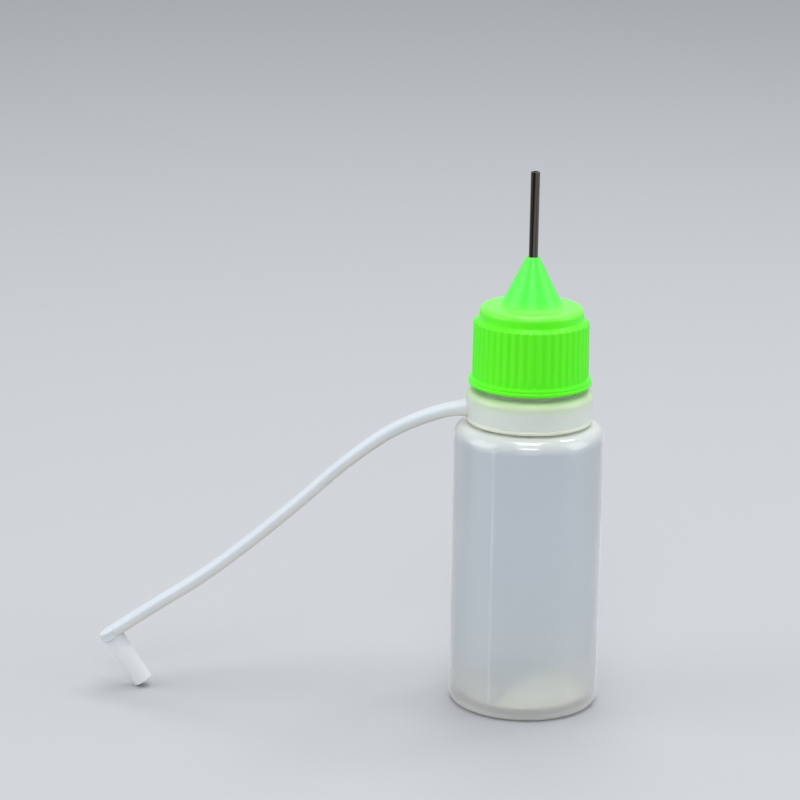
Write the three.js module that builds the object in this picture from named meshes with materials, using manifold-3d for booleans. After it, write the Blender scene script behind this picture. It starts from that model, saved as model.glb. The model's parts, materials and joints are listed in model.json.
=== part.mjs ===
// Needle-tip glue applicator bottle, in millimetres, +Z up.
// The origin is on the bottle's axis at the plane it stands on. The strap leaves along -X.
import * as THREE from 'three';
import { mergeVertices } from 'three/addons/utils/BufferGeometryUtils.js';
import Module from 'manifold-3d';

const wasm = await Module();
wasm.setup();

// ---- Driving dimensions ----

const SIDES = 36; // facets round the large turned shapes
const ARC_STEPS = 3; // facets in a rounded corner
const SMALL_SIDES = 20; // facets round the needle and its cover

const BODY_R = 10.5;
const WALL = 0.9;
const BASE_CORNER_R = 2.0;
const BASE_RECESS = 0.4; // the base panel sits this far above the standing ring
const BASE_PANEL_R = 7.2;
const SHOULDER_R = 2.7;
const SHOULDER_Z = 40.7;

const NECK_R = 6.5; // smooth band that the collar turns on
const NECK_BORE_R = 4.4;
const NECK_FILLET = 0.4;
const SNAP_BEAD_R = 6.95; // keeps the collar from riding up
const SNAP_BEAD_Z = 45.95;
const SNAP_BEAD_HALF_FLAT = 0.15;
const SNAP_BEAD_HALF_FOOT = 0.5;
const THREAD_ROOT_R = 5.85;
const THREAD_ROOT_Z = 46.8;
const MOUTH_Z = 56.3;
const MOUTH_CHAMFER = 0.3;

const THREAD_PITCH = 2.1;
const NECK_THREAD = { centreR: 5.95, wireR: 0.5, startZ: 50.2, turns: 1.6 };
const CAP_THREAD = { centreR: 6.68, wireR: 0.48, startZ: 50.2 - THREAD_PITCH / 2, turns: 1.4 };
const THREAD_STEPS_PER_TURN = 24;

const COLLAR_Z0 = 41.05;
const COLLAR_Z1 = 45.45;
const COLLAR_TOP_R = 8.9;
const COLLAR_FOOT_R = 8.68;
const COLLAR_EDGE_R = 0.9;
const COLLAR_LIP = 0.06; // a fine bead round the foot
const COLLAR_LIP_H = 0.35;
const COLLAR_BORE_CHAMFER = 0.25;
const COLLAR_BORE_R = 6.8;
const COLLAR_WEB_Z = 43.0; // underside of the web that rides on the neck
const COLLAR_SKIRT_INNER_R = 7.7;

const CAP_Z0 = 46.35;
const FLANGE_R = 8.58;
const FLANGE_H = 0.9;
const FLANGE_ROUND = 0.15;
const SKIRT_FOOT_Z = 47.4;
const SKIRT_CORE_R = 7.5; // solid wall behind the ribs
const GROOVE_R = 7.82; // between the ribs
const RIB_DEPTH = 0.28;
const RIB_COUNT = 44;
const RIB_SINK = 0.2; // the ribs start this far inside the flange
const RIB_TOP_SCALE = 0.985; // the ribbed band narrows upwards
const RIB_SHOULDER_Z = 55.1; // where the wall starts to slope in to the dome
const RIB_RUNOUT = 1.0; // the ribs' crests start to slope in this far below that
const RIB_TOP_Z = 55.6;
const DOME_R = 7.2;
const DOME_ROUND = 1.6;
const DOME_Z = 57.3;
const CAP_BORE_R = 6.75;
const CAP_RELIEF_R = 7.35; // clears the bottle's snap bead
const CAP_RELIEF_LEAD = 0.5; // height of the slope from the relief to the bore
const CAP_CEILING_Z = 56.6;
const CAP_CEILING_R = 6.25;
const CAP_CEILING_DROP = 0.2; // the bore narrows to the ceiling this far below the ribs' top
const PLUG_R = 4.05;
const PLUG_BORE_R = 3.2;
const PLUG_TIP_Z = 53.4;
const PLUG_TIP_CHAMFER = 0.25;
const CAVITY_Z = 57.0;

const CONE_BASE_R = 4.25;
const CONE_FLARE = 0.35;
const CONE_TIP_R = 0.92;
const CONE_TIP_Z = 64.2;
const NEEDLE_R = 0.635;
const NEEDLE_BORE_R = 0.42;
const NEEDLE_Z0 = 60.8;
const NEEDLE_Z1 = 76.0;
const NEEDLE_SEAT_R = 0.7;
const NEEDLE_SEAT_Z = 61.6;
const NEEDLE_SEAT_LEAD = 0.4;
const NEEDLE_EDGE = 0.05;

const STRAP_W = 3.2;
const STRAP_T = 1.55;
const STRAP_EDGE_R = 0.4;
const STRAP_GAP = 0.9; // between neighbouring lengths of strap, centred on each bend
const FIRST_BEND = 2.5; // distances along the strap from the collar's wall
const BEND_SPACING = 6.87;
const BEND_COUNT = 8;
const TWIST_AT = FIRST_BEND + (BEND_COUNT - 1) * BEND_SPACING + 5.0;
const STRAP_ROOT_DEPTH = 0.8; // how far the strap runs into the collar's wall
const STRAP_STEP = 1.8;

// Middle of the strap from the collar's wall to the axis of the needle cover, as [x, z].
const STRAP_ROUTE = [
  [-8.9, 42.55],
  [-12.0, 41.95],
  [-18.5, 39.22],
  [-25.2, 34.4],
  [-31.9, 28.3],
  [-38.7, 22.35],
  [-45.4, 17.0],
  [-52.2, 12.4],
  [-58.85, 7.85],
];

const COVER_TO_STRAP = 88.5; // degrees between the strap's end and the cover's open end
const COVER_LENGTH = 9.1;
const COVER_HEAD_R = 1.65;
const COVER_HEAD_H = 1.35;
const COVER_R = 1.5;
const COVER_MOUTH_R = 1.38;
const COVER_BORE_R = 0.9;
const COVER_BORE_DEPTH = 8.2;
const COVER_EDGE = 0.12;

// ---- Materials ----

function plastic(color, roughness) {
  return new THREE.MeshStandardMaterial({ color, roughness, metalness: 0 });
}

const MATERIALS = {
  bottle: plastic(0xbfcbd2, 0.45),
  cap: plastic(0x4ef23a, 0.35),
  tether: plastic(0xdfe6df, 0.4),
  needle: new THREE.MeshStandardMaterial({ color: 0xa8a49c, roughness: 0.25, metalness: 1 }),
};

// ---- Geometry helpers ----

// Points of an arc round (r, z) from one angle to another, in degrees.
function arc(r, z, radius, fromDeg, toDeg, steps = ARC_STEPS) {
  const points = [];
  for (let i = 0; i <= steps; i += 1) {
    const angle = THREE.MathUtils.degToRad(fromDeg + ((toDeg - fromDeg) * i) / steps);
    points.push([r + radius * Math.cos(angle), z + radius * Math.sin(angle)]);
  }
  return points;
}

function indexOnly(geometry) {
  geometry.deleteAttribute('normal');
  geometry.deleteAttribute('uv');
  return mergeVertices(geometry, 1e-4);
}

function signedVolume(positions, indices) {
  const corner = (i) => new THREE.Vector3().fromArray(positions, 3 * indices[i]);
  let volume = 0;
  for (let i = 0; i < indices.length; i += 3) {
    volume += corner(i).dot(corner(i + 1).cross(corner(i + 2))) / 6;
  }
  return volume;
}

// A closed geometry as a solid with its faces pointing out.
function solid(geometry) {
  const merged = indexOnly(geometry);
  const vertProperties = new Float32Array(merged.attributes.position.array);
  const triVerts = new Uint32Array(merged.index.array);
  if (signedVolume(vertProperties, triVerts) < 0) triVerts.reverse();
  return new wasm.Manifold(new wasm.Mesh({ numProp: 3, vertProperties, triVerts }));
}

// A profile of [r, z] points turned about the Z axis.
function turned(profile, sides = SIDES) {
  const points = profile.map(([r, z]) => new THREE.Vector2(r, z));
  return solid(new THREE.LatheGeometry(points, sides).rotateX(Math.PI / 2));
}

function closed(profile) {
  return [...profile, profile[0]];
}

function meshOf(manifold, name, material) {
  const { vertProperties, triVerts } = manifold.getMesh();
  const geometry = new THREE.BufferGeometry();
  geometry.setAttribute('position', new THREE.BufferAttribute(vertProperties, 3));
  geometry.setIndex(new THREE.BufferAttribute(triVerts, 1));
  geometry.computeVertexNormals();
  const mesh = new THREE.Mesh(geometry, material);
  mesh.name = name;
  return mesh;
}

// ---- Screw threads ----

class Helix extends THREE.Curve {
  constructor({ centreR, startZ, turns }) {
    super();
    this.centreR = centreR;
    this.startZ = startZ;
    this.turns = turns;
  }

  getPoint(t, target = new THREE.Vector3()) {
    const angle = 2 * Math.PI * this.turns * t;
    const z = this.startZ + THREAD_PITCH * this.turns * t;
    return target.set(this.centreR * Math.cos(angle), this.centreR * Math.sin(angle), z);
  }
}

function thread(spec) {
  const section = new THREE.Shape().absarc(0, 0, spec.wireR, 0, 2 * Math.PI);
  const steps = Math.round(spec.turns * THREAD_STEPS_PER_TURN);
  const extrudePath = new Helix(spec);
  const options = { steps, extrudePath, curveSegments: 8, bevelEnabled: false };
  return solid(new THREE.ExtrudeGeometry(section, options));
}

// ---- Bottle ----

function bottle() {
  const corner = BODY_R - BASE_CORNER_R;
  const shoulder = BODY_R - SHOULDER_R;
  const floor = BASE_RECESS + WALL;
  const outside = [
    [0, BASE_RECESS],
    [BASE_PANEL_R, BASE_RECESS],
    [BASE_PANEL_R + 2 * BASE_RECESS, 0],
    ...arc(corner, BASE_CORNER_R, BASE_CORNER_R, -90, 0),
    ...arc(shoulder, SHOULDER_Z - SHOULDER_R, SHOULDER_R, 0, 90),
    ...arc(NECK_R + NECK_FILLET, SHOULDER_Z + NECK_FILLET, NECK_FILLET, 270, 180, 2),
    [NECK_R, SNAP_BEAD_Z - SNAP_BEAD_HALF_FOOT],
    [SNAP_BEAD_R, SNAP_BEAD_Z - SNAP_BEAD_HALF_FLAT],
    [SNAP_BEAD_R, SNAP_BEAD_Z + SNAP_BEAD_HALF_FLAT],
    [NECK_R, SNAP_BEAD_Z + SNAP_BEAD_HALF_FOOT],
    [THREAD_ROOT_R, THREAD_ROOT_Z],
    [THREAD_ROOT_R, MOUTH_Z - MOUTH_CHAMFER],
    [THREAD_ROOT_R - MOUTH_CHAMFER, MOUTH_Z],
  ];
  const inside = [
    [NECK_BORE_R + MOUTH_CHAMFER, MOUTH_Z],
    [NECK_BORE_R, MOUTH_Z - MOUTH_CHAMFER],
    [NECK_BORE_R, SHOULDER_Z + WALL],
    [NECK_BORE_R + WALL, SHOULDER_Z - WALL],
    ...arc(shoulder, SHOULDER_Z - SHOULDER_R, SHOULDER_R - WALL, 90, 0),
    ...arc(corner, BASE_CORNER_R, BASE_CORNER_R - WALL, 0, -90),
    [BASE_PANEL_R, floor],
    [0, floor],
  ];
  return turned([...outside, ...inside]).add(thread(NECK_THREAD));
}

// ---- Needle cap ----

// The band of grip ribs: a scalloped ring that narrows upwards and slopes in at its top.
function ribBand() {
  const pointsPerRib = 4;
  const foot = SKIRT_FOOT_Z - RIB_SINK;
  const height = RIB_TOP_Z - foot;
  const outline = [];
  for (let i = 0; i < RIB_COUNT * pointsPerRib; i += 1) {
    const angle = (2 * Math.PI * i) / (RIB_COUNT * pointsPerRib);
    const wave = (1 + Math.cos(RIB_COUNT * angle)) / 2;
    const r = GROOVE_R + RIB_DEPTH * wave;
    outline.push(new THREE.Vector2(r * Math.cos(angle), r * Math.sin(angle)));
  }
  const shape = new THREE.Shape(outline);
  const holeR = (CAP_BORE_R + SKIRT_CORE_R) / 2;
  shape.holes.push(new THREE.Path().absarc(0, 0, holeR, 0, 2 * Math.PI));
  const options = { depth: height, curveSegments: SIDES / 2, bevelEnabled: false };
  const geometry = new THREE.ExtrudeGeometry(shape, options);
  const position = geometry.attributes.position;
  for (let i = 0; i < position.count; i += 1) {
    const scale = 1 + (RIB_TOP_SCALE - 1) * (position.getZ(i) / height);
    position.setXY(i, position.getX(i) * scale, position.getY(i) * scale);
  }
  geometry.translate(0, 0, foot);
  const envelope = turned([
    [0, CAP_Z0],
    [FLANGE_R, CAP_Z0],
    [FLANGE_R, RIB_SHOULDER_Z - RIB_RUNOUT],
    [GROOVE_R + RIB_DEPTH / 2, RIB_SHOULDER_Z],
    [DOME_R, RIB_TOP_Z],
    [0, RIB_TOP_Z],
  ]);
  return solid(geometry).intersect(envelope);
}

function capShell() {
  const coneBaseZ = DOME_Z + CONE_FLARE;
  const outside = [
    [CAP_RELIEF_R, CAP_Z0],
    [FLANGE_R - FLANGE_ROUND, CAP_Z0],
    [FLANGE_R, CAP_Z0 + FLANGE_ROUND],
    [FLANGE_R, CAP_Z0 + FLANGE_H - FLANGE_ROUND],
    [FLANGE_R - FLANGE_ROUND, CAP_Z0 + FLANGE_H],
    [GROOVE_R + RIB_DEPTH, SKIRT_FOOT_Z],
    [SKIRT_CORE_R, SKIRT_FOOT_Z],
    [SKIRT_CORE_R, RIB_SHOULDER_Z],
    [DOME_R, RIB_TOP_Z],
    ...arc(DOME_R - DOME_ROUND, DOME_Z - DOME_ROUND, DOME_ROUND, 0, 90, 6),
    [CONE_BASE_R + CONE_FLARE, DOME_Z],
    [CONE_BASE_R, coneBaseZ - CONE_FLARE / 3],
    [CONE_TIP_R, CONE_TIP_Z - NEEDLE_EDGE],
    [CONE_TIP_R - NEEDLE_EDGE, CONE_TIP_Z],
  ];
  const inside = [
    [NEEDLE_SEAT_R, CONE_TIP_Z],
    [NEEDLE_SEAT_R, NEEDLE_SEAT_Z],
    [NEEDLE_SEAT_R + NEEDLE_SEAT_LEAD, NEEDLE_SEAT_Z - NEEDLE_SEAT_LEAD],
    [PLUG_BORE_R, CAVITY_Z],
    [PLUG_BORE_R, PLUG_TIP_Z],
    [PLUG_R - PLUG_TIP_CHAMFER, PLUG_TIP_Z],
    [PLUG_R, PLUG_TIP_Z + 2 * PLUG_TIP_CHAMFER],
    [PLUG_R, CAP_CEILING_Z],
    [CAP_CEILING_R, CAP_CEILING_Z],
    [CAP_CEILING_R, RIB_TOP_Z - CAP_CEILING_DROP],
    [CAP_BORE_R, RIB_SHOULDER_Z],
    [CAP_BORE_R, SKIRT_FOOT_Z],
    [CAP_RELIEF_R, SKIRT_FOOT_Z - CAP_RELIEF_LEAD],
  ];
  return turned(closed([...outside, ...inside]));
}

function needleCap() {
  return capShell().add(ribBand()).add(thread(CAP_THREAD));
}

function needle() {
  const profile = [
    [NEEDLE_BORE_R, NEEDLE_Z0],
    [NEEDLE_R, NEEDLE_Z0],
    [NEEDLE_R, NEEDLE_Z1 - NEEDLE_EDGE],
    [NEEDLE_R - NEEDLE_EDGE, NEEDLE_Z1],
    [NEEDLE_BORE_R, NEEDLE_Z1],
  ];
  return turned(closed(profile), SMALL_SIDES);
}

// ---- Tether: collar, strap and needle cover ----

const strapCurve = new THREE.CatmullRomCurve3(
  STRAP_ROUTE.map(([x, z]) => new THREE.Vector3(x, 0, z)),
);
const strapLength = strapCurve.getLength();

// The stretch of the strap's middle line between two distances from the collar's wall.
class StrapStretch extends THREE.Curve {
  constructor(from, to) {
    super();
    this.from = from;
    this.to = to;
  }

  getPoint(t, target = new THREE.Vector3()) {
    const distance = THREE.MathUtils.lerp(this.from, this.to, t);
    const alongCurve = Math.max(distance, 0) / strapLength;
    const point = strapCurve.getPointAt(alongCurve, target);
    const insideWall = Math.min(distance, 0);
    return point.addScaledVector(strapCurve.getTangentAt(0), insideWall);
  }
}

function strapSection() {
  const x = STRAP_W / 2 - STRAP_EDGE_R;
  const y = STRAP_T / 2 - STRAP_EDGE_R;
  return new THREE.Shape()
    .absarc(x, y, STRAP_EDGE_R, 0, Math.PI / 2)
    .absarc(-x, y, STRAP_EDGE_R, Math.PI / 2, Math.PI)
    .absarc(-x, -y, STRAP_EDGE_R, Math.PI, 1.5 * Math.PI)
    .absarc(x, -y, STRAP_EDGE_R, 1.5 * Math.PI, 2 * Math.PI);
}

function strap(from, to) {
  const extrudePath = new StrapStretch(from, to);
  const steps = Math.max(2, Math.round((to - from) / STRAP_STEP));
  const options = { steps, extrudePath, curveSegments: 2, bevelEnabled: false };
  return solid(new THREE.ExtrudeGeometry(strapSection(), options));
}

function collar() {
  const profile = [
    [COLLAR_SKIRT_INNER_R, COLLAR_Z0],
    [COLLAR_FOOT_R + COLLAR_LIP, COLLAR_Z0],
    [COLLAR_FOOT_R + COLLAR_LIP, COLLAR_Z0 + COLLAR_LIP_H],
    [COLLAR_FOOT_R, COLLAR_Z0 + COLLAR_LIP_H + 2 * COLLAR_LIP],
    ...arc(COLLAR_TOP_R - COLLAR_EDGE_R, COLLAR_Z1 - COLLAR_EDGE_R, COLLAR_EDGE_R, 0, 90),
    [COLLAR_BORE_R + COLLAR_BORE_CHAMFER, COLLAR_Z1],
    [COLLAR_BORE_R, COLLAR_Z1 - COLLAR_BORE_CHAMFER],
    [COLLAR_BORE_R, COLLAR_WEB_Z],
    [COLLAR_SKIRT_INNER_R, COLLAR_WEB_Z],
  ];
  const root = strap(-STRAP_ROOT_DEPTH, FIRST_BEND - STRAP_GAP / 2);
  return turned(closed(profile)).add(root);
}

// One length of strap between two neighbouring bends.
function strapLink(index) {
  const from = FIRST_BEND + index * BEND_SPACING + STRAP_GAP / 2;
  const isLast = index === BEND_COUNT - 1;
  const to = (isLast ? TWIST_AT : FIRST_BEND + (index + 1) * BEND_SPACING) - STRAP_GAP / 2;
  return strap(from, to);
}

// The cover is turned about its own axis with its closed head up, then laid along the strap's end.
function needleCover() {
  const profile = [
    [0, 0],
    [COVER_HEAD_R - COVER_EDGE, 0],
    [COVER_HEAD_R, -COVER_EDGE],
    [COVER_HEAD_R, -COVER_HEAD_H],
    [COVER_R, -COVER_HEAD_H],
    [COVER_MOUTH_R, -COVER_LENGTH + COVER_EDGE],
    [COVER_MOUTH_R - COVER_EDGE, -COVER_LENGTH],
    [COVER_BORE_R + COVER_EDGE, -COVER_LENGTH],
    [COVER_BORE_R, -COVER_LENGTH + COVER_EDGE],
    [COVER_BORE_R, COVER_BORE_DEPTH - COVER_LENGTH],
    [0, COVER_BORE_DEPTH - COVER_LENGTH],
  ];
  const end = strapCurve.getPointAt(1);
  const tangent = strapCurve.getTangentAt(1);
  const strapHeading = Math.atan2(tangent.z, tangent.x);
  const coverHeading = strapHeading + THREE.MathUtils.degToRad(COVER_TO_STRAP);
  const tiltDeg = -THREE.MathUtils.radToDeg(coverHeading) - 90;
  const cover = turned(profile, SMALL_SIDES)
    .translate([0, 0, COVER_HEAD_H / 2])
    .rotate([0, tiltDeg, 0])
    .translate([end.x, 0, end.z]);
  return cover.add(strap(TWIST_AT + STRAP_GAP / 2, strapLength));
}

// ---- Assembly ----

const applicator = new THREE.Group();
applicator.add(meshOf(bottle(), 'bottle', MATERIALS.bottle));
applicator.add(meshOf(needleCap(), 'needle_cap', MATERIALS.cap));
applicator.add(meshOf(needle(), 'needle', MATERIALS.needle));
applicator.add(meshOf(collar(), 'collar', MATERIALS.tether));
for (let i = 0; i < BEND_COUNT; i += 1) {
  applicator.add(meshOf(strapLink(i), `strap_link_${i + 1}`, MATERIALS.tether));
}
applicator.add(meshOf(needleCover(), 'needle_cover', MATERIALS.tether));

export default applicator;
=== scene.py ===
"""Looks of the needle-tip glue applicator bottle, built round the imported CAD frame. Metres, +Z up."""

import json
import math

import bmesh
import bpy
import numpy as np
from mathutils import Matrix, Vector


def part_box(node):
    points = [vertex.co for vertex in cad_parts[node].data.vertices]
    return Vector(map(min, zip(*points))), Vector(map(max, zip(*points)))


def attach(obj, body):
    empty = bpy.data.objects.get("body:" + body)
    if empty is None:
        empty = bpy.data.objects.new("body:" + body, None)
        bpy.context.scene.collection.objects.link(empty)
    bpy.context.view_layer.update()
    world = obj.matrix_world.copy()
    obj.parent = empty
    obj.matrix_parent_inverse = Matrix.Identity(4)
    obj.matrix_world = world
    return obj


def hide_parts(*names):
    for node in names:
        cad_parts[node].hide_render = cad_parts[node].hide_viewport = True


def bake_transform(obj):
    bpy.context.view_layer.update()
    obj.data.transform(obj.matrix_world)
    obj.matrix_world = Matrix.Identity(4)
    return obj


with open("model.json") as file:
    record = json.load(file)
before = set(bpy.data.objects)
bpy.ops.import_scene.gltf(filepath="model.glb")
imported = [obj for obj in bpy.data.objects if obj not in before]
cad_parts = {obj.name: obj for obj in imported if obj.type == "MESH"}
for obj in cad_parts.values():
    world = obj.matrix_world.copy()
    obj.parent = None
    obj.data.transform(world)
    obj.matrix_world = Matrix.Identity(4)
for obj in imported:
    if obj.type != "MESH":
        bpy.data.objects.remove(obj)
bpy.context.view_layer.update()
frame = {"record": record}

MM = 0.001


# ---- Sizes, in millimetres, from the frame where it gives them ----


def span(node, axis):
    """Lowest and highest value of a CAD node along one axis, in millimetres."""
    low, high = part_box(node)
    return low[axis] / MM, high[axis] / MM


BODY_R = span("bottle", 0)[1]
MOUTH_Z = span("bottle", 2)[1]
CAP_Z0, CONE_TIP_Z = span("needle_cap", 2)
FLANGE_R = span("needle_cap", 0)[1]
NEEDLE_Z0, NEEDLE_Z1 = span("needle", 2)
NEEDLE_R = span("needle", 0)[1]
COLLAR_Z0, COLLAR_Z1 = span("collar", 2)
COLLAR_R = span("collar", 1)[1]
STRAP_W = 2 * span("strap_link_4", 1)[1]
COVER_HEAD_R = span("needle_cover", 1)[1]

# Bottle
WALL = 0.9
BASE_CORNER_R = 2.0
BASE_RECESS = 0.4
BASE_PANEL_R = 7.2
BASE_PANEL_SLOPE = 0.8  # width of the slope from the recessed panel out to the standing ring
FLOOR_CORNER_R = BASE_CORNER_R - WALL + 0.4
FLOOR_PANEL_SLOPE = 0.5
FLOOR_CROWN = 0.25  # the inner floor rises by this to its middle
SHOULDER_R = 2.7
SHOULDER_Z = 40.7
NECK_R = 6.5
NECK_BORE_R = 4.4
NECK_BORE_Z0 = SHOULDER_Z + 0.3
NECK_BORE_FLARE = 1.2
SNAP_BEAD_R = 6.95
SNAP_BEAD_Z = 45.95
SNAP_BEAD_HALF_FOOT = 0.5

# Threads
THREAD_ROOT_R = 5.85
THREAD_ROOT_Z = 46.8
THREAD_PITCH = 2.1
THREAD_HEIGHT = 0.6
THREAD_HALF_CREST = 0.14
THREAD_HALF_FOOT = 0.52
THREAD_FADE = 0.12  # the share of a turn in which a thread rises at each of its ends
NECK_THREAD_START = 50.2
NECK_THREAD_TURNS = 1.6
CAP_THREAD_START = NECK_THREAD_START - THREAD_PITCH / 2
CAP_THREAD_TURNS = 1.4

# Marks of the mould, and the thick floor
PARTING_ANGLE = math.radians(-116.5)  # where the mould halves meet, and again opposite
PARTING_ALONG = (math.cos(PARTING_ANGLE), math.sin(PARTING_ANGLE))
PARTING_NORMAL = (-math.sin(PARTING_ANGLE), math.cos(PARTING_ANGLE), 0.0)
PARTING_HEIGHT = 0.1
PARTING_WIDTH = 0.2
PAD_R = 8.8
PAD_Z0 = 1.25
PAD_EDGE = 0.05
PAD_RISE = 0.5
PAD_RIDGE = 0.35
PAD_RIDGE_WIDTH = 0.45
PINCH_LENGTH = 11.0
PINCH_WIDTH = 0.35
PINCH_HEIGHT = 0.25
PINCH_TIP = 0.04  # the pinch seam narrows to this share of its size at its ends

# Cap and needle
SKIRT_FOOT_Z = 47.4
FLANGE_RIM_Z = CAP_Z0 + 0.48
FLANGE_GROOVE_R = FLANGE_R - 0.2  # the line between the flange's rim and the step above it
FLANGE_GROOVE_Z = CAP_Z0 + 0.54
FLANGE_STEP_R = FLANGE_R - 0.14
FLANGE_STEP_Z0 = SKIRT_FOOT_Z - 0.4
FLANGE_STEP_Z1 = SKIRT_FOOT_Z - 0.12
FLANGE_TOP_Z = SKIRT_FOOT_Z - 0.05
GROOVE_R = 7.91
GROOVE_TOP_SCALE = 0.987  # the ribbed band narrows upwards
RIB_DEPTH = 0.19
RIB_COUNT = 44
RIB_RISE = (0.12, 0.75)  # from groove to crest between these levels of a wave from 0 to 1
RIB_FOOT = (SKIRT_FOOT_Z - 0.15, SKIRT_FOOT_Z + 0.35)
FLANGE_TOP_R = GROOVE_R + RIB_DEPTH + 0.02  # just outside the ribs' crests
RIB_SHOULDER_Z = 55.1
RIB_TOP_Z = 55.6
RIB_END_R = 7.45
RIB_END_Z = RIB_TOP_Z - 0.1
RIB_RUNOUT_Z = RIB_TOP_Z - 0.15
DOME_R = 7.2
DOME_ROUND = 1.9
DOME_Z = 57.3
CAP_BORE_R = 6.75
CAP_RELIEF_R = 7.35
CAP_RELIEF_LEAD = 0.5
CAP_CEILING_Z = 56.6
CAP_CEILING_R = 6.25
CAP_CEILING_DROP = 0.2
PLUG_R = 4.05
PLUG_BORE_R = 3.2
PLUG_TIP_Z = 53.4
CAVITY_Z = 57.0
CONE_FOOT_R = 4.35
CONE_FOOT_Z = DOME_Z + 0.04
CONE_TIP_R = 0.92
NEEDLE_HOLE_R = NEEDLE_R + 0.02
NEEDLE_HOLE_SINK = 0.02
NEEDLE_SEAT_Z = 61.6
NEEDLE_BORE_R = 0.66 * NEEDLE_R

# Collar
COLLAR_SKIRT_INNER_R = 7.7
COLLAR_LIP_R = COLLAR_R - 0.14
COLLAR_LIP_H = 0.34
COLLAR_WAIST_R = COLLAR_R - 0.24  # where the collar's wall is slimmest, just over the lip
COLLAR_WAIST_H = 0.5
COLLAR_BORE_R = 6.8
COLLAR_WEB_Z = 43.0

# Strap
STRAP_T = 1.55
STRAP_EDGE_R = 0.66
STRAP_STEP = 0.35
STRAP_FLARE = 0.5  # the strap is this much wider and thicker where it leaves the collar
STRAP_FLARE_REACH = 0.7
STRAP_SUNK = 0.9  # how far the strap runs into the collar's wall and the cover's head
EASE = 0.25  # the share of two neighbouring bends' mean that reaches the middle between them
TONGUE = 0.5  # each bending piece reaches this far into the next, so that no crack opens
TONGUE_INSET = 0.02
FIRST_BEND = 2.5
BEND_SPACING = 6.87
BEND_COUNT = 8
TWIST_AFTER_LAST = 5.0
STRAP_ROUTE = [  # (x, z) along the strap's middle, from the collar's wall to the cover's head
    (-8.9, 42.55),
    (-12.0, 41.95),
    (-18.5, 39.22),
    (-25.2, 34.4),
    (-31.9, 28.3),
    (-38.7, 22.35),
    (-45.4, 17.0),
    (-52.2, 12.4),
    (-58.85, 7.85),
]

# Cover
COVER_TO_STRAP = 88.5  # degrees between the strap's end and the cover's open end
COVER_LENGTH = 9.1
COVER_HEAD_H = 1.35
COVER_HEAD_STEP = 0.05
COVER_R = 1.5
COVER_MOUTH_R = 1.38
COVER_BORE_R = 0.9
COVER_BORE_END_R = 0.85
COVER_BORE_DEPTH = 8.2


# ---- Camera, at the photograph's viewing angle ----

CAMERA_DISTANCE = 0.40299
CAMERA_HEIGHT = 0.15308
CAMERA_YAW = math.radians(-2.56)
CAMERA_PITCH = math.radians(15.22)
CAMERA_ROLL = math.radians(-0.81)
SENSOR_MM = 36.0
LENS_MM = 135.21


def make_camera():
    forward = Vector(
        (
            math.sin(CAMERA_YAW) * math.cos(CAMERA_PITCH),
            math.cos(CAMERA_YAW) * math.cos(CAMERA_PITCH),
            -math.sin(CAMERA_PITCH),
        )
    )
    level = Vector((math.cos(CAMERA_YAW), -math.sin(CAMERA_YAW), 0.0))
    down = forward.cross(level)
    right = level * math.cos(CAMERA_ROLL) + down * math.sin(CAMERA_ROLL)
    up = right.cross(forward)
    data = bpy.data.cameras.new("camera")
    data.sensor_width = SENSOR_MM
    data.lens = LENS_MM
    data.clip_start = 0.01
    data.clip_end = 50.0
    camera = bpy.data.objects.new("camera", data)
    bpy.context.scene.collection.objects.link(camera)
    camera.matrix_world = Matrix(
        (
            (right.x, up.x, -forward.x, 0.0),
            (right.y, up.y, -forward.y, -CAMERA_DISTANCE),
            (right.z, up.z, -forward.z, CAMERA_HEIGHT),
            (0.0, 0.0, 0.0, 1.0),
        )
    )
    bpy.context.scene.camera = camera


make_camera()


# ---- Outlines of turned pieces ----


class Outline:
    """A line of (r, z) points in millimetres, with rounded corners, fine steps and reliefs."""

    def __init__(self):
        self.corners = []

    def to(self, r, z, fillet=0.0, step=1.5, relief=None):
        """Adds a corner. step and relief are for the stretch that ends at it."""
        self.corners.append((np.array((r, z), float), fillet, step, relief))

    def points(self, loop):
        """The finished line as a list of (r, z, relief)."""
        count = len(self.corners)
        rounded = []
        for i, (corner, fillet, step, relief) in enumerate(self.corners):
            at_end = not loop and i in (0, count - 1)
            if fillet <= 0 or at_end:
                rounded.append(([corner], step, relief))
                continue
            before = self.corners[i - 1][0]
            after = self.corners[(i + 1) % count][0]
            rounded.append((fillet_points(before, corner, after, fillet), step, relief))
        line = []
        for i, (arc, step, relief) in enumerate(rounded):
            if i > 0 or loop:
                start = rounded[i - 1][0][-1]
                line += [(*p, relief) for p in between(start, arc[0], step)]
            line += [(p[0], p[1], None if len(arc) > 1 else relief) for p in arc]
        return line


MOST_OF_A_SIDE = 0.49  # a rounded corner takes no more of a side, so that two corners fit on it
EDGE = 0.12  # a long side gets a point this close to each of its ends, to keep its shading flat


def fillet_points(before, corner, after, radius, degrees_per_step=9.0):
    """Points of the arc that rounds one corner of an outline."""
    into = (before - corner) / np.linalg.norm(before - corner)
    out = (after - corner) / np.linalg.norm(after - corner)
    half = math.acos(np.clip(into @ out, -1, 1)) / 2
    shorter_side = min(np.linalg.norm(before - corner), np.linalg.norm(after - corner))
    reach = min(radius / math.tan(half), MOST_OF_A_SIDE * shorter_side)
    radius = reach * math.tan(half)
    bisector = (into + out) / np.linalg.norm(into + out)
    centre = corner + bisector * radius / math.sin(half)
    a = corner + into * reach - centre
    b = corner + out * reach - centre
    sweep = math.atan2(a[0] * b[1] - a[1] * b[0], a @ b)
    steps = max(2, math.ceil(abs(math.degrees(sweep)) / degrees_per_step))
    points = []
    for k in range(steps + 1):
        turn = sweep * k / steps
        c, s = math.cos(turn), math.sin(turn)
        points.append(centre + np.array((c * a[0] - s * a[1], s * a[0] + c * a[1])))
    return points


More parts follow.
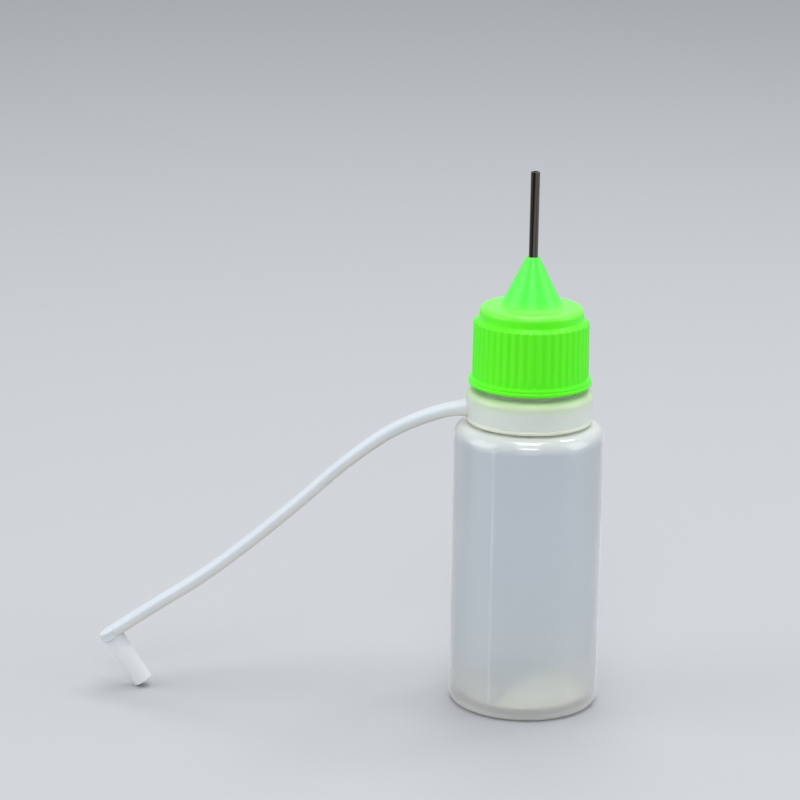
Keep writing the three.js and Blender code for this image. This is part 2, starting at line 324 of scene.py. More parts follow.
def between(start, end, step):
    """Points strictly between two ends, at most step apart. A long line also has one near each end."""
    length = np.linalg.norm(end - start)
    count = math.ceil(length / step)
    shares = [k / count for k in range(1, count)]
    if length > 4 * EDGE:
        shares = sorted({EDGE / length, *shares, 1 - EDGE / length})
    return [start + (end - start) * share for share in shares]


# ---- Meshes ----


def new_object(name, vertices, faces):
    """A smooth-shaded closed mesh with its faces pointing out. Faces of many corners are flat ends."""
    mesh = bpy.data.meshes.new(name)
    mesh.from_pydata([tuple(v) for v in vertices], [], faces)
    body = bmesh.new()
    body.from_mesh(mesh)
    bmesh.ops.recalc_face_normals(body, faces=body.faces)
    for face in body.faces:
        face.smooth = len(face.verts) <= 4
        if not face.smooth:
            for edge in face.edges:
                edge.smooth = False
    body.to_mesh(mesh)
    body.free()
    piece = bpy.data.objects.new(name, mesh)
    bpy.context.scene.collection.objects.link(piece)
    return piece


def grid_faces(row_starts, row_sizes, loop):
    """Faces that join neighbouring rows of a turned grid. A row of one vertex is a pole."""
    faces = []
    count = len(row_starts)
    for i in range(count if loop else count - 1):
        j = (i + 1) % count
        a, b = row_starts[i], row_starts[j]
        around = max(row_sizes[i], row_sizes[j])
        for k in range(around):
            n = (k + 1) % around
            if row_sizes[i] == 1:
                faces.append((a, b + n, b + k))
            elif row_sizes[j] == 1:
                faces.append((a + k, a + n, b))
            else:
                faces.append((a + k, a + n, b + n, b + k))
    return faces


def turned(name, outline, segments, loop=True):
    """A closed mesh from an outline turned about Z. A relief adds to the radius by angle and height."""
    angles = np.arange(segments) * 2 * math.pi / segments
    vertices, starts, sizes = [], [], []
    for r, z, relief in outline.points(loop):
        starts.append(len(vertices))
        if r == 0:
            vertices.append((0.0, 0.0, z * MM))
            sizes.append(1)
            continue
        radii = r + (relief(angles, z) if relief else np.zeros(segments))
        xy = np.stack([radii * np.cos(angles), radii * np.sin(angles)], axis=1) * MM
        vertices += [(x, y, z * MM) for x, y in xy]
        sizes.append(segments)
    return new_object(name, vertices, grid_faces(starts, sizes, loop))


def bar_faces(rows, around):
    """Faces of a bar made of rows of points round it, with a flat face at each end."""
    starts = [i * around for i in range(rows)]
    sides = grid_faces(starts, [around] * rows, loop=False)
    return [*sides, tuple(reversed(range(around))), tuple(starts[-1] + k for k in range(around))]


# ---- Reliefs: what the moulds add to a plain turned surface ----


def smooth(low, high, value):
    """0 below low, 1 above high and smooth between."""
    t = np.clip((np.asarray(value, float) - low) / (high - low), 0, 1)
    return t * t * (3 - 2 * t)


def thread_relief(start, turns, height):
    """A right-hand thread with a rounded crest that fades in and out at its ends."""

    def relief(angles, z):
        total = np.zeros_like(angles)
        for k in range(-1, math.ceil(turns) + 1):
            turn = k + (angles % (2 * math.pi)) / (2 * math.pi)
            crest = start + THREAD_PITCH * turn
            inside = smooth(0, THREAD_FADE, turn) * smooth(0, THREAD_FADE, turns - turn)
            profile = 1 - smooth(THREAD_HALF_CREST, THREAD_HALF_FOOT, np.abs(z - crest))
            total = np.maximum(total, inside * profile)
        return height * total

    return relief


def rib_relief(angles, z):
    """Upright grip ribs with rounded crests, which rise out of the band's foot."""
    wave = 0.5 + 0.5 * np.cos(RIB_COUNT * angles)
    return RIB_DEPTH * smooth(*RIB_RISE, wave) * smooth(*RIB_FOOT, z)


def rib_top_relief(angles, z):
    """The ribs run out into the slope above them, which gives each one a rounded top."""
    return rib_relief(angles, z) * (1 - smooth(RIB_SHOULDER_Z, RIB_RUNOUT_Z, z))


def parting_relief(angles, z):
    """The fine line that the two mould halves leave down the bottle."""
    total = np.zeros_like(angles)
    for centre in (PARTING_ANGLE, PARTING_ANGLE + math.pi):
        off = (angles - centre + math.pi) % (2 * math.pi) - math.pi
        total += np.exp(-((off * BODY_R / PARTING_WIDTH) ** 2))
    return PARTING_HEIGHT * total


# ---- Bottle ----


def make_bottle():
    outline = Outline()
    outline.to(0, BASE_RECESS)
    outline.to(BASE_PANEL_R, BASE_RECESS, fillet=0.5)
    outline.to(BASE_PANEL_R + BASE_PANEL_SLOPE, 0, fillet=0.4)
    outline.to(BODY_R, 0, fillet=BASE_CORNER_R)
    outline.to(BODY_R, SHOULDER_Z, fillet=SHOULDER_R, step=2.0, relief=parting_relief)
    outline.to(NECK_R, SHOULDER_Z, fillet=0.4)
    outline.to(NECK_R, SNAP_BEAD_Z - SNAP_BEAD_HALF_FOOT, fillet=0.2)
    outline.to(SNAP_BEAD_R, SNAP_BEAD_Z, fillet=0.3)
    outline.to(NECK_R, SNAP_BEAD_Z + SNAP_BEAD_HALF_FOOT, fillet=0.2)
    outline.to(THREAD_ROOT_R, THREAD_ROOT_Z, fillet=0.3)
    neck_thread = thread_relief(NECK_THREAD_START, NECK_THREAD_TURNS, THREAD_HEIGHT)
    outline.to(THREAD_ROOT_R, MOUTH_Z, fillet=0.3, step=0.15, relief=neck_thread)
    outline.to(NECK_BORE_R, MOUTH_Z, fillet=0.3)
    outline.to(NECK_BORE_R, NECK_BORE_Z0, fillet=1.2)
    outline.to(NECK_BORE_R + NECK_BORE_FLARE, SHOULDER_Z - WALL, fillet=0.8)
    outline.to(BODY_R - WALL, SHOULDER_Z - WALL, fillet=SHOULDER_R - WALL)
    outline.to(BODY_R - WALL, WALL, fillet=FLOOR_CORNER_R, step=2.0)
    outline.to(BASE_PANEL_R, WALL, fillet=0.4)
    outline.to(BASE_PANEL_R - FLOOR_PANEL_SLOPE, BASE_RECESS + WALL, fillet=0.5)
    outline.to(0, BASE_RECESS + WALL + FLOOR_CROWN)
    return turned("bottle_body", outline, segments=192, loop=False)


def make_base_pad():
    """The thicker middle of the floor, seen through the wall, with the fold of the pinched tube."""
    rows, around = 18, 96
    vertices = [(0.0, 0.0, PAD_Z0 * MM)]
    starts, sizes = [0], [1]
    radii = [PAD_R * k / rows for k in range(1, rows + 1)]
    for r in radii + radii[-2::-1]:
        below = len(starts) < rows + 1
        starts.append(len(vertices))
        sizes.append(around)
        for k in range(around):
            angle = 2 * math.pi * k / around
            x, y = r * math.cos(angle), r * math.sin(angle)
            z = PAD_Z0 if below and r < PAD_R else pad_top(x, y)
            vertices.append((x * MM, y * MM, z * MM))
    starts.append(len(vertices))
    sizes.append(1)
    vertices.append((0.0, 0.0, pad_top(0.0, 0.0) * MM))
    return new_object("bottle_base_pad", vertices, grid_faces(starts, sizes, loop=False))


def pad_top(x, y):
    """Height of the base pad's top: a shallow dome with a ridge across it."""
    r = math.hypot(x, y) / PAD_R
    off = PARTING_ALONG[0] * y - PARTING_ALONG[1] * x
    ridge = PAD_RIDGE * math.exp(-((off / PAD_RIDGE_WIDTH) ** 2)) * (1 - r**4)
    return PAD_Z0 + PAD_EDGE + PAD_RISE * math.sqrt(max(0.0, 1 - r**2)) + ridge


def make_pinch_seam():
    """The welded fold on the underside, where the mould pinched the tube shut."""
    sections, around = 24, 12
    along = np.array(PARTING_ALONG)
    across = np.array(PARTING_NORMAL[:2])
    vertices = []
    for i in range(sections + 1):
        s = -1 + 2 * i / sections
        taper = max(PINCH_TIP, 1 - abs(s) ** 6)
        for k in range(around):
            angle = 2 * math.pi * k / around
            x, y = along * s * PINCH_LENGTH / 2 + across * PINCH_WIDTH / 2 * taper * math.cos(angle)
            z = BASE_RECESS + PINCH_HEIGHT * taper * math.sin(angle)
            vertices.append((x * MM, y * MM, z * MM))
    return new_object("bottle_pinch_seam", vertices, bar_faces(sections + 1, around))


# ---- Cap and needle ----


def make_cap():
    outline = Outline()
    outline.to(CAP_RELIEF_R, CAP_Z0, fillet=0.12)
    outline.to(FLANGE_R, CAP_Z0, fillet=0.2)
    outline.to(FLANGE_R, FLANGE_RIM_Z, fillet=0.2)
    outline.to(FLANGE_GROOVE_R, FLANGE_GROOVE_Z, fillet=0.05)
    outline.to(FLANGE_STEP_R, FLANGE_STEP_Z0, fillet=0.05)
    outline.to(FLANGE_STEP_R, FLANGE_STEP_Z1, fillet=0.15)
    outline.to(FLANGE_TOP_R, FLANGE_TOP_Z, fillet=0.1)
    outline.to(GROOVE_R, SKIRT_FOOT_Z, relief=rib_relief)
    outline.to(GROOVE_R * GROOVE_TOP_SCALE, RIB_SHOULDER_Z, step=0.7, relief=rib_relief)
    outline.to(RIB_END_R, RIB_END_Z, step=0.12, relief=rib_top_relief)
    outline.to(DOME_R, RIB_TOP_Z, fillet=0.05)
    outline.to(DOME_R, DOME_Z, fillet=DOME_ROUND)
    outline.to(CONE_FOOT_R, CONE_FOOT_Z, fillet=0.7)
    outline.to(CONE_TIP_R, CONE_TIP_Z, fillet=0.16)
    outline.to(NEEDLE_HOLE_R, CONE_TIP_Z - NEEDLE_HOLE_SINK, fillet=0.05)
    outline.to(NEEDLE_HOLE_R, NEEDLE_SEAT_Z)
    outline.to(PLUG_BORE_R, CAVITY_Z, fillet=0.4)
    outline.to(PLUG_BORE_R, PLUG_TIP_Z, fillet=0.1)
    outline.to(PLUG_R, PLUG_TIP_Z, fillet=0.35)
    outline.to(PLUG_R, CAP_CEILING_Z, fillet=0.3)
    outline.to(CAP_CEILING_R, CAP_CEILING_Z, fillet=0.3)
    outline.to(CAP_CEILING_R, RIB_TOP_Z - CAP_CEILING_DROP, fillet=0.2)
    outline.to(CAP_BORE_R, RIB_SHOULDER_Z, fillet=0.2)
    cap_thread = thread_relief(CAP_THREAD_START, CAP_THREAD_TURNS, -THREAD_HEIGHT)
    outline.to(CAP_BORE_R, SKIRT_FOOT_Z, fillet=0.2, step=0.26, relief=cap_thread)
    outline.to(CAP_RELIEF_R, SKIRT_FOOT_Z - CAP_RELIEF_LEAD, fillet=0.2)
    return turned("cap_shell", outline, segments=8 * RIB_COUNT)


def make_needle():
    outline = Outline()
    outline.to(NEEDLE_BORE_R, NEEDLE_Z0, fillet=0.03)
    outline.to(NEEDLE_R, NEEDLE_Z0, fillet=0.05)
    outline.to(NEEDLE_R, NEEDLE_Z1, fillet=0.06, step=3.0)
    outline.to(NEEDLE_BORE_R, NEEDLE_Z1, fillet=0.05)
    return turned("needle_tube", outline, segments=64)


# ---- Tether ----


def make_collar():
    outline = Outline()
    outline.to(COLLAR_SKIRT_INNER_R, COLLAR_Z0, fillet=0.12)
    outline.to(COLLAR_LIP_R, COLLAR_Z0, fillet=0.14)
    outline.to(COLLAR_LIP_R, COLLAR_Z0 + COLLAR_LIP_H, fillet=0.12)
    outline.to(COLLAR_WAIST_R, COLLAR_Z0 + COLLAR_WAIST_H, fillet=0.1)
    outline.to(COLLAR_R, COLLAR_Z1, fillet=0.95)
    outline.to(COLLAR_BORE_R, COLLAR_Z1, fillet=0.25)
    outline.to(COLLAR_BORE_R, COLLAR_WEB_Z, fillet=0.2)
    outline.to(COLLAR_SKIRT_INNER_R, COLLAR_WEB_Z, fillet=0.3)
    return turned("collar_ring", outline, segments=160)


def catmull_rom(points, samples=60):
    """A centripetal Catmull-Rom curve through the points, finely sampled, as the CAD source draws it."""
    p = np.array(points, float)
    p = np.vstack([2 * p[0] - p[1], p, 2 * p[-1] - p[-2]])
    line = []
    for i in range(1, len(p) - 2):
        knots = np.cumsum([0.0] + [np.linalg.norm(p[i + k] - p[i + k - 1]) ** 0.5 for k in (0, 1, 2)])
        t = np.linspace(knots[1], knots[2], samples, endpoint=False)[:, None]
        a = [
            p[i - 1 + k] + (p[i + k] - p[i - 1 + k]) * (t - knots[k]) / (knots[k + 1] - knots[k])
            for k in range(3)
        ]
        b = [
            a[k] + (a[k + 1] - a[k]) * (t - knots[k]) / (knots[k + 2] - knots[k]) for k in range(2)
        ]
        line.append(b[0] + (b[1] - b[0]) * (t - knots[1]) / (knots[2] - knots[1]))
    line.append(p[-2][None, :])
    return np.vstack(line)


ROUTE = catmull_rom(STRAP_ROUTE)
ROUTE_AT = np.concatenate([[0.0], np.cumsum(np.linalg.norm(np.diff(ROUTE, axis=0), axis=1))])
STRAP_LENGTH = ROUTE_AT[-1]


def on_route(distance):
    """Middle of the strap and its direction in the XZ plane, at a distance from the collar's wall."""

    def place(d):
        d_in = min(max(d, 0.0), STRAP_LENGTH)
        spot = np.array([np.interp(d_in, ROUTE_AT, ROUTE[:, k]) for k in (0, 1)])
        lead = ROUTE[1] - ROUTE[0] if d < d_in else ROUTE[-1] - ROUTE[-2]
        return spot + lead / np.linalg.norm(lead) * (d - d_in)

    step = 0.3
    direction = place(distance + step) - place(distance - step)
    return place(distance), direction / np.linalg.norm(direction)


def strap_piece(name, start, end, flare=0.0, tongue=False):
    """A length of the strap, a flat bar with rounded edges.

    A flare thickens it near the collar. A tongue is a short, slightly slimmer stub past its end.
    """
    count = max(4, math.ceil((end - start) / STRAP_STEP))
    stations = [(start + (end - start) * i / count, 0.0) for i in range(count + 1)]
    if tongue:
        stations.append((end + TONGUE, TONGUE_INSET))
    section = strap_section()
    vertices = []
    for distance, inset in stations:
        middle, along = on_route(distance)
        upward = np.array((along[1], -along[0]))
        grow = flare * math.exp(-max(distance, 0.0) / STRAP_FLARE_REACH) - 2 * inset
        for across, height in section:
            y = across * (1 + grow / STRAP_W)
            x, z = middle + upward * height * (1 + grow / STRAP_T)
            vertices.append((x * MM, y * MM, z * MM))
    piece = new_object(name, vertices, bar_faces(len(stations), len(section)))
    levels = piece.data.attributes.new("level", "FLOAT", "POINT")
    level_in_section = [0.5 + height / STRAP_T for _, height in section]
    levels.data.foreach_set("value", level_in_section * len(stations))
    return piece


def strap_section(corner_steps=5):
    """Points (across, height) round the strap's cross-section."""
    half_w = STRAP_W / 2 - STRAP_EDGE_R
    half_t = STRAP_T / 2 - STRAP_EDGE_R
    points = []
    for quarter in range(4):
        side = 1 if quarter in (0, 3) else -1
        face = 1 if quarter in (0, 1) else -1
        for k in range(corner_steps + 1):
            angle = (quarter + k / corner_steps) * math.pi / 2
            across = side * half_w + STRAP_EDGE_R * math.cos(angle)
            height = face * half_t + STRAP_EDGE_R * math.sin(angle)
            points.append((across, height))
        if quarter in (0, 2):
            points += [(side * half_w * f, face * STRAP_T / 2) for f in (0.5, 0.0, -0.5)]
    return points


def make_cover():
    """The needle cover: a blind tube with a thicker head, turned and laid at the strap's end."""
    outline = Outline()
    outline.to(0, 0)
    outline.to(COVER_HEAD_R, 0, fillet=0.3)
    outline.to(COVER_HEAD_R, -COVER_HEAD_H, fillet=0.12)
    outline.to(COVER_R, -COVER_HEAD_H - COVER_HEAD_STEP, fillet=0.08)
    outline.to(COVER_MOUTH_R, -COVER_LENGTH, fillet=0.12)
    outline.to(COVER_BORE_R, -COVER_LENGTH, fillet=0.2)
    outline.to(COVER_BORE_END_R, COVER_BORE_DEPTH - COVER_LENGTH, fillet=0.3)
    outline.to(0, COVER_BORE_DEPTH - COVER_LENGTH)
    cover = turned("cover_sleeve", outline, segments=72, loop=False)
    end, along = on_route(STRAP_LENGTH)
    heading = math.atan2(along[1], along[0]) + math.radians(COVER_TO_STRAP)
    tilt = Matrix.Rotation(-heading - math.pi / 2, 4, "Y")
    lift = Matrix.Translation((0, 0, COVER_HEAD_H / 2 * MM))
    place = Matrix.Translation((end[0] * MM, 0, end[1] * MM))
    cover.data.transform(place @ tilt @ lift)
    return cover


# ---- Materials. A pair of tones is the darker and the lighter colour of a cloudy plastic ----


NOISE_SPAN = (0.3, 0.7)  # most values of a noise lie between these

WALL_TONES = (0.80, 0.84, 0.875), (0.85, 0.885, 0.91)
# The foot's near-white colour is partly the thicker plastic's whiteness and partly painted light against
# the floor's shade.
FOOT_THICK_WHITE_AND_PAINTED_LIGHT = (0.97, 0.97, 0.935)
FOOT_FADE = (1.5, 9.0)  # heights at which the foot's colour starts to give way and is gone
# The neck's paler, greenish colour, reaching down over the shoulder, is painted light bounced from the
# collar.
NECK_PAINTED_BOUNCE_COLOUR = (0.93, 0.965, 0.90)
NECK_FADE = (SHOULDER_Z - 2.2, SHOULDER_Z + 0.3)
FLOOR_FADE = (0.0, 2.2)  # heights over which the wall clears above the thick floor
SEAM_FADE = (0.06, 0.26)  # distances from the plane where the mould halves meet
WALL_CLEARNESS = 0.86
FOOT_CLEARNESS = 0.38
SEAM_CLEARNESS = 0.81  # the share of the wall's clearness that is left along the seam
NECK_CLEARNESS = 0.4  # the share of it that is left in the neck

FOLD_TONES = (0.97, 0.95, 0.80), (1.0, 0.98, 0.86)
FLOOR_TONES = (0.66, 0.67, 0.64), (0.72, 0.73, 0.70)
FOLD_FADE = (-0.3, 0.5)  # distances past that plane, from the floor's tones to the fold's

SKIRT_TONES = (0.06, 0.86, 0.0), (0.13, 0.93, 0.0)
# The whole cap is one green plastic: the dome's paler green is a painted highlight, and the cone's bluer
# green a painted reflection.
DOME_PAINTED_HIGHLIGHT_TONES = (0.15, 0.89, 0.05), (0.20, 0.94, 0.07)
CONE_PAINTED_REFLECTION_TONES = (0.06, 0.80, 0.05), (0.10, 0.86, 0.07)
DOME_PAINTED_LIGHT_FADE = (DOME_Z - 1.0, DOME_Z - 0.1)
CONE_PAINTED_REFLECTION_FADE = (DOME_Z - 0.2, DOME_Z + 1.2)

TETHER_CLOUD_SCALE = 140.0
COLLAR_TONES = (0.89, 0.935, 0.895), (0.93, 0.965, 0.925)
COLLAR_PAINTED_CAP_LIGHT_COLOUR = (0.74, 0.95, 0.56)  # painted reflection and glow of the cap's green light on the collar's top
COLLAR_PAINTED_CAP_LIGHT_FADE = (43.6, 45.3)
COLLAR_LIP_COLOUR = (0.95, 0.96, 0.80)
COLLAR_LIP_FADE = (41.7, 41.2)  # downwards
# The cover is one plastic: its sleeve is painted lighter where little light reaches it, and its head
# painted darker against the strong light on its top.
SLEEVE_PAINTED_LIGHT_TONES = (0.72, 0.725, 0.73), (0.78, 0.785, 0.79)
HEAD_PAINTED_SHADE_TONES = (0.55, 0.585, 0.63), (0.62, 0.655, 0.69)
HEAD_PAINTED_SHADE_FADE = (6.0, 8.2)
# One plastic, with painted shade on the strap's upper face and painted light on its underside.
STRAP_UPPER_PAINTED_SHADE_TONES = (0.54, 0.58, 0.63), (0.61, 0.65, 0.69)
STRAP_LOWER_PAINTED_LIGHT_TONES = (0.68, 0.67, 0.60), (0.74, 0.73, 0.66)
STRAP_FADE = (0.15, 0.75)  # levels through the strap's thickness, from 0 to 1

# The steel's very dark tones are a painted reflection of dark surroundings; the streaks between dark and
# light are the tube's drawn grain.
STEEL_GRAIN_AND_PAINTED_REFLECTION_TONES = (0.022, 0.017, 0.014), (0.24, 0.22, 0.20)
STEEL_STREAKS = (0.38, 0.60)  # values of the streaky noise that are fully dark and fully light


class Nodes:
    """Short names for the few shader nodes that the materials use."""

    def __init__(self, name):
        self.material = bpy.data.materials.new(name)
        self.material.use_nodes = True
        self.tree = self.material.node_tree
        self.shader = self.tree.nodes["Principled BSDF"]
        self.place = self.tree.nodes.new("ShaderNodeTexCoord").outputs["Object"]

    def set(self, **values):
        for key, value in values.items():
            self.shader.inputs[key.replace("_", " ")].default_value = value

    def into(self, source, name):
        self.tree.links.new(source, self.shader.inputs[name])

    def noise(self, scale, detail=2.0, stretch=(1, 1, 1)):
        """A noise of scale patches to the metre, before it is stretched."""
        mapping = self.tree.nodes.new("ShaderNodeMapping")
        mapping.inputs["Scale"].default_value = stretch
        node = self.tree.nodes.new("ShaderNodeTexNoise")
        node.inputs["Scale"].default_value = scale
        node.inputs["Detail"].default_value = detail
        self.tree.links.new(self.place, mapping.inputs["Vector"])
        self.tree.links.new(mapping.outputs["Vector"], node.inputs["Vector"])
        return node.outputs["Fac"]

    def remap(self, source, low=0.0, high=1.0, to_low=0.0, to_high=1.0):
        node = self.tree.nodes.new("ShaderNodeMapRange")
        node.inputs["From Min"].default_value = low
        node.inputs["From Max"].default_value = high
        node.inputs["To Min"].default_value = to_low
        node.inputs["To Max"].default_value = to_high
        self.tree.links.new(source, node.inputs["Value"])
        return node.outputs["Result"]

    def height(self, low, high):
        """0 at height low and 1 at height high, in millimetres."""
        split = self.tree.nodes.new("ShaderNodeSeparateXYZ")
        self.tree.links.new(self.place, split.inputs[0])
        return self.remap(split.outputs["Z"], low * MM, high * MM)

    def past_parting_plane(self):
        """Signed distance, in metres, past the plane in which the bottle's mould halves meet."""
        node = self.tree.nodes.new("ShaderNodeVectorMath")
        node.operation = "DOT_PRODUCT"
        self.tree.links.new(self.place, node.inputs[0])
        node.inputs[1].default_value = PARTING_NORMAL
        return node.outputs["Value"]

    def size_of(self, source):
        node = self.tree.nodes.new("ShaderNodeMath")
        node.operation = "ABSOLUTE"
        self.tree.links.new(source, node.inputs[0])
        return node.outputs[0]

    def product(self, a, b):
        node = self.tree.nodes.new("ShaderNodeMath")
        node.operation = "MULTIPLY"
        self.tree.links.new(a, node.inputs[0])
        self.tree.links.new(b, node.inputs[1])
        return node.outputs[0]

    def mix(self, factor, a, b):
        """From a at factor 0 to b at factor 1, each a colour or another node's output."""
        node = self.tree.nodes.new("ShaderNodeMix")
        node.data_type = "RGBA"
        for socket, value in ((node.inputs["A"], a), (node.inputs["B"], b)):
            if isinstance(value, bpy.types.NodeSocket):
                self.tree.links.new(value, socket)
            else:
                socket.default_value = (*value, 1.0)
        self.tree.links.new(factor, node.inputs["Factor"])
        return node.outputs["Result"]

    def uneven_roughness(self, source, low, high):
        self.into(self.remap(source, *NOISE_SPAN, low, high), "Roughness")

    def bump(self, source, strength, depth):
        """A bump of depth millimetres."""
        node = self.tree.nodes.new("ShaderNodeBump")
        node.inputs["Strength"].default_value = strength
        node.inputs["Distance"].default_value = depth * MM
        self.tree.links.new(source, node.inputs["Height"])
        self.tree.links.new(node.outputs["Normal"], self.shader.inputs["Normal"])


def bottle_material():
    look = Nodes("frosted_polyethylene")
    wall = look.mix(look.noise(scale=90.0, detail=4.0, stretch=(1, 1, 0.35)), *WALL_TONES)
    # the foot's thicker, whiter plastic, with painted light against the floor's shade
    body = look.mix(look.height(*FOOT_FADE), FOOT_THICK_WHITE_AND_PAINTED_LIGHT, wall)
    neck = look.height(*NECK_FADE)
    # painted light bounced from the collar, on the neck and shoulder
    look.into(look.mix(neck, body, NECK_PAINTED_BOUNCE_COLOUR), "Base Color")
    look.uneven_roughness(look.noise(scale=700.0), 0.30, 0.40)
    wall_clear = look.remap(look.height(*FLOOR_FADE), to_low=FOOT_CLEARNESS, to_high=WALL_CLEARNESS)
    off_seam = look.size_of(look.past_parting_plane())
    seam_clear = look.remap(off_seam, SEAM_FADE[0] * MM, SEAM_FADE[1] * MM, SEAM_CLEARNESS, 1.0)
    neck_clear = look.remap(neck, to_low=1.0, to_high=NECK_CLEARNESS)
    clear = look.product(look.product(wall_clear, seam_clear), neck_clear)
    look.into(clear, "Transmission Weight")
    look.set(IOR=1.2, Coat_Weight=1.0, Coat_Roughness=0.1, Coat_IOR=1.7)
    look.set(Sheen_Weight=0.35, Sheen_Roughness=0.4)
    look.bump(look.noise(scale=1600.0), strength=0.08, depth=0.03)
    return look.material


def base_material():
    """The bottle's plastic where it is thick, brighter on one side of the fold than on the other."""
    look = Nodes("thick_base_polyethylene")
    cloud = look.noise(scale=260.0, detail=4.0)
    side = look.remap(look.past_parting_plane(), FOLD_FADE[0] * MM, FOLD_FADE[1] * MM)
    floor = look.mix(cloud, *FLOOR_TONES)
    fold = look.mix(cloud, *FOLD_TONES)
    look.into(look.mix(side, floor, fold), "Base Color")
    look.uneven_roughness(look.noise(scale=700.0), 0.40, 0.50)
    look.set(IOR=1.5)
    look.bump(look.noise(scale=1200.0), strength=0.1, depth=0.03)
    return look.material


def cap_material():
    look = Nodes("green_cap_plastic")
    flow = look.noise(scale=160.0, detail=3.0, stretch=(1, 1, 0.25))
    skirt = look.mix(flow, *SKIRT_TONES)
    # painted highlight on the dome and painted reflection on the cone, over the skirt's green
    dome = look.mix(flow, *DOME_PAINTED_HIGHLIGHT_TONES)
    cone = look.mix(flow, *CONE_PAINTED_REFLECTION_TONES)
    top = look.mix(look.height(*CONE_PAINTED_REFLECTION_FADE), dome, cone)
    look.into(look.mix(look.height(*DOME_PAINTED_LIGHT_FADE), skirt, top), "Base Color")
    look.uneven_roughness(look.noise(scale=900.0), 0.36, 0.44)
    look.set(IOR=1.3, Coat_Weight=0.4, Coat_Roughness=0.25, Coat_IOR=1.5)
    return look.material


def needle_material():
    look = Nodes("drawn_steel_tube")
    streaks = look.noise(scale=1500.0, stretch=(1, 1, 0.01))
    # painted dark reflection in the steel, streaked by its drawn grain
    look.into(look.mix(look.remap(streaks, *STEEL_STREAKS), *STEEL_GRAIN_AND_PAINTED_REFLECTION_TONES), "Base Color")
    look.uneven_roughness(streaks, 0.16, 0.24)
    look.set(Metallic=1.0)
    look.bump(streaks, strength=0.1, depth=0.01)
    return look.material


def tether_plastic(name):
    """The tether's soft plastic without its colour, and the cloud that its tones follow."""
    look = Nodes(name)
    look.uneven_roughness(look.noise(scale=800.0), 0.28, 0.4)
    look.set(IOR=1.5)
    look.bump(look.noise(scale=1800.0), strength=0.08, depth=0.02)
    return look, look.noise(scale=TETHER_CLOUD_SCALE, detail=3.0)


def collar_material():
    look, cloud = tether_plastic("milky_collar_plastic")
    plain = look.mix(cloud, *COLLAR_TONES)
    # painted reflection of the cap's green light towards the collar's top
    lit = look.mix(look.height(*COLLAR_PAINTED_CAP_LIGHT_FADE), plain, COLLAR_PAINTED_CAP_LIGHT_COLOUR)
    lip = look.height(*COLLAR_LIP_FADE)
    look.into(look.mix(lip, lit, COLLAR_LIP_COLOUR), "Base Color")
    look.set(IOR=1.2, Transmission_Weight=0.42)
    look.set(Coat_Weight=0.6, Coat_Roughness=0.2, Coat_IOR=1.5)
    return look.material


def cover_material():
    look, cloud = tether_plastic("milky_cover_plastic")
    # painted light on the sleeve and painted shade on the head
    sleeve = look.mix(cloud, *SLEEVE_PAINTED_LIGHT_TONES)
    head = look.mix(cloud, *HEAD_PAINTED_SHADE_TONES)
    look.into(look.mix(look.height(*HEAD_PAINTED_SHADE_FADE), sleeve, head), "Base Color")
    return look.material


def strap_material():
    """Painted shade makes the strap's upper face darker and bluish, and painted light makes its
    underside lighter and warmer.
    """
    look, cloud = tether_plastic("milky_strap_plastic")
    level = look.tree.nodes.new("ShaderNodeAttribute")
    level.attribute_name = "level"
    side = look.remap(level.outputs["Fac"], *STRAP_FADE)
    lower = look.mix(cloud, *STRAP_LOWER_PAINTED_LIGHT_TONES)
    upper = look.mix(cloud, *STRAP_UPPER_PAINTED_SHADE_TONES)
    look.into(look.mix(side, lower, upper), "Base Color")
    return look.material


def dress(piece, material):
    piece.data.materials.append(material)
    return piece


# ---- Putting the pieces on their bodies ----


def point(distance):
    middle, _ = on_route(distance)
    return Vector((middle[0] * MM, 0.0, middle[1] * MM))


def eased(share):
    """Where a smoothstep from 0 to 1 reaches this share."""
    return 0.5 - math.sin(math.asin(1 - 2 * share) / 3)


def blend_ends(start, end, before, after):
    """Ends of a piece's blend, placed so that a share of its joint's turn falls outside the piece.

    The share before falls ahead of its start and the share after past its end.
    """
    low, high = eased(before), 1 - eased(after)
    a, b = point(start), point(end)
    return a - (b - a) * low / (high - low), b + (b - a) * (1 - high) / (high - low)


def largest_bends():
    """The limit of each of the strap's bending joints, in degrees, from the record."""
    names = ["strap_curl"] + [f"strap_bend_{i}" for i in range(2, BEND_COUNT + 1)]
    joints = {joint["name"]: joint for joint in frame["record"]["behaviour"]["joints"]}
    return [joints[name]["range_deg"][1] for name in names]


def make_strap(material):
    """One piece for each joint, each from the middle of one length to the middle of the next."""
    joints = [FIRST_BEND + i * BEND_SPACING for i in range(BEND_COUNT)]
    joints.append(joints[-1] + TWIST_AFTER_LAST)
    middles = [(a + b) / 2 for a, b in zip(joints, joints[1:])]
    ends = [0.0, *middles, STRAP_LENGTH - COVER_HEAD_R]
    bends = largest_bends()
    carried = [0.0, *[EASE * (a + b) / 2 for a, b in zip(bends, bends[1:])], 0.0]
    for i in range(len(joints)):
        start, end = ends[i], ends[i + 1]
        first, last = i == 0, i == len(joints) - 1
        drawn_start = start - (STRAP_SUNK if first else 0.0)
        drawn_end = end + (STRAP_SUNK if last else 0.0)
        flare = STRAP_FLARE if first else 0.0
        piece = strap_piece(f"strap_{i + 1}", drawn_start, drawn_end, flare, tongue=i < BEND_COUNT - 1)
        dress(piece, material)
        blend_start, blend_end = point(start), point(end)
        if not last:
            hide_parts(f"strap_link_{i + 1}")
            shares = carried[i] / bends[i], carried[i + 1] / bends[i]
            blend_start, blend_end = blend_ends(start, end, *shares)
        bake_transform(piece)


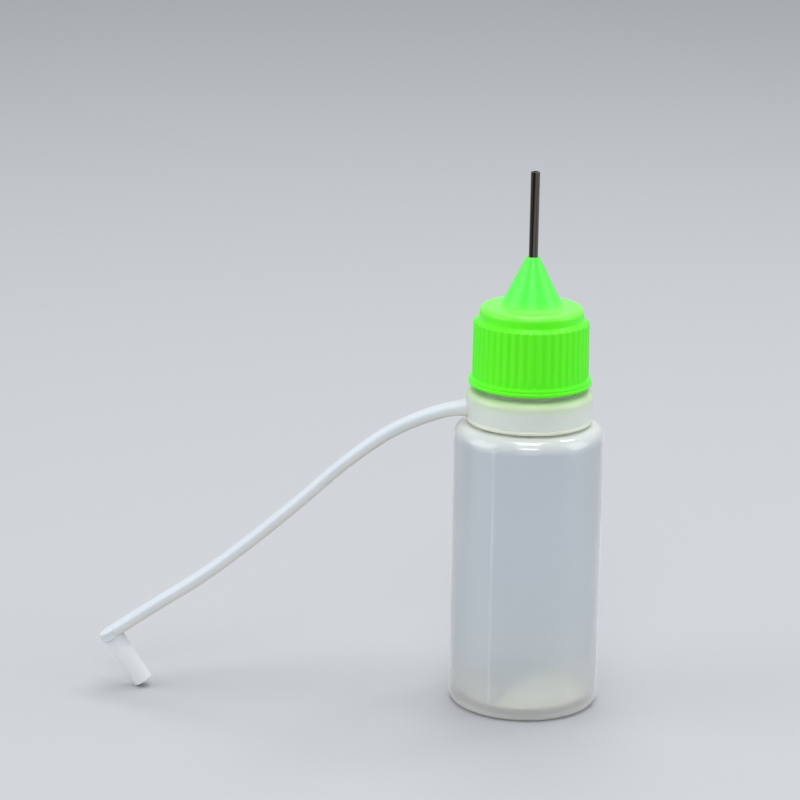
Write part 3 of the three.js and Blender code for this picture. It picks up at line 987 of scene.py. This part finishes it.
def make_object():
    base_look = base_material()
    bottle = dress(make_bottle(), bottle_material())
    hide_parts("bottle")
    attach(bottle, "bottle")
    seam = dress(make_pinch_seam(), base_look)
    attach(seam, "bottle")
    pad = dress(make_base_pad(), base_look)
    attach(pad, "bottle")
    cap = dress(make_cap(), cap_material())
    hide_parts("needle_cap")
    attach(cap, "cap")
    needle = dress(make_needle(), needle_material())
    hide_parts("needle")
    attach(needle, "needle")
    collar = dress(make_collar(), collar_material())
    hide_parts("collar")
    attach(collar, "collar")
    cover = dress(make_cover(), cover_material())
    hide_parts("needle_cover")
    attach(cover, "cover")
    make_strap(strap_material())


make_object()


# ---- Floor and light ----

FLOOR_HALF_WIDTH = 3.0
FLOOR_CORNERS = [(-1, -1), (1, -1), (1, 1), (-1, 1)]
FLOOR_COLOUR = (0.43, 0.44, 0.455)
LIGHT_TARGET = (0, 0.02, 0.035)
SKY_COLOUR = (0.93, 0.96, 1.0)
SKY_STRENGTH = 0.68


def make_floor():
    corners = [(x * FLOOR_HALF_WIDTH, y * FLOOR_HALF_WIDTH, 0) for x, y in FLOOR_CORNERS]
    mesh = bpy.data.meshes.new("floor")
    mesh.from_pydata(corners, [], [(0, 1, 2, 3)])
    floor = bpy.data.objects.new("floor", mesh)
    bpy.context.scene.collection.objects.link(floor)
    look = Nodes("pale_floor")
    look.set(Base_Color=(*FLOOR_COLOUR, 1.0), Roughness=0.6)
    mesh.materials.append(look.material)


def area_light(name, place, size, power):
    data = bpy.data.lights.new(name, "AREA")
    data.shape = "RECTANGLE"
    data.size, data.size_y = size
    data.energy = power
    light = bpy.data.objects.new(name, data)
    bpy.context.scene.collection.objects.link(light)
    light.location = place
    direction = Vector(LIGHT_TARGET) - Vector(place)
    light.rotation_euler = direction.to_track_quat("-Z", "Y").to_euler()


def make_light():
    area_light("overhead", place=(0, 0.08, 0.60), size=(0.25, 0.68), power=2.0)
    area_light("high_right", place=(0.28, 0.23, 0.58), size=(0.12, 0.12), power=0.45)
    area_light("front", place=(0, -0.52, 0.45), size=(0.3, 0.15), power=0.7)
    area_light("left", place=(-0.62, -0.12, 0.30), size=(0.5, 0.5), power=1.6)
    area_light("right", place=(0.62, -0.05, 0.30), size=(0.4, 0.5), power=1.3)
    world = bpy.data.worlds.new("studio")
    world.use_nodes = True
    background = world.node_tree.nodes["Background"]
    background.inputs["Color"].default_value = (*SKY_COLOUR, 1)
    background.inputs["Strength"].default_value = SKY_STRENGTH
    bpy.context.scene.world = world


make_floor()
make_light()
bpy.context.scene.view_settings.view_transform = "Standard"
